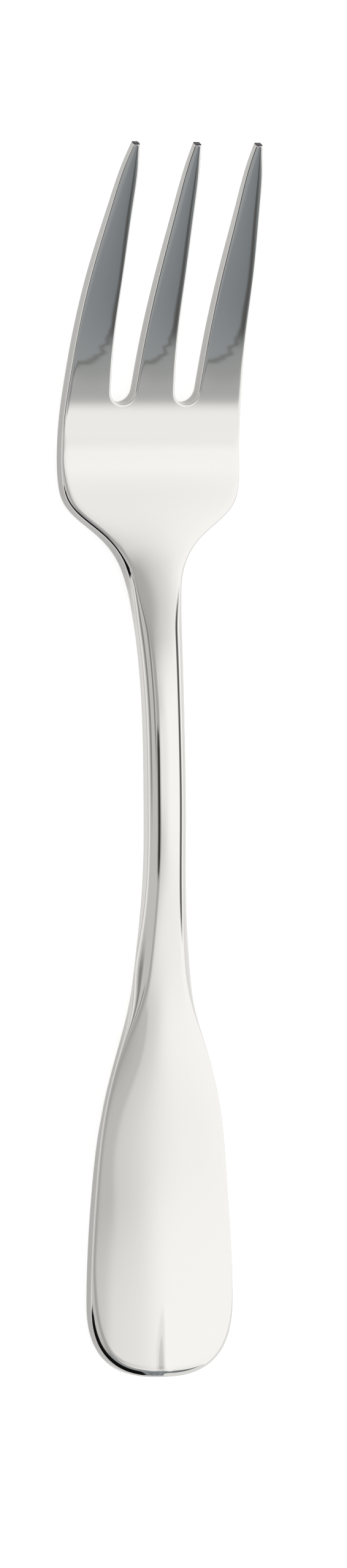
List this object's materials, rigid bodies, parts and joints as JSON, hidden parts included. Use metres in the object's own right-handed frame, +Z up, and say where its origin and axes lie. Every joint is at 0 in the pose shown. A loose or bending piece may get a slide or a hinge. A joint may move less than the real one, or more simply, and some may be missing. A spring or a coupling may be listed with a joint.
{
  "type": "fish fork",
  "caption": "Polished steel fish fork with a broad flat head, pointed tines, a slim bevelled stem and a round-ended handle, for parting and lifting fish at the table.",
  "frame": {"origin": "on the table, under the middle of the fork's length and width, with the fork lying on its back", "axes": "+Y along the fork towards the tips of the tines, +Z up from the table, +X across the fork"},
  "size_m": [0.0278, 0.1742, 0.0194],
  "materials": {
    "polished_steel": "mirror polished stainless steel with fine wear"
  },
  "bodies": {
    "root": {"handle": "polished_steel", "stem": "polished_steel", "neck": "polished_steel", "head": "polished_steel", "tine_left": "polished_steel", "tine_middle": "polished_steel", "tine_right": "polished_steel"}
  },
  "joints": []
}
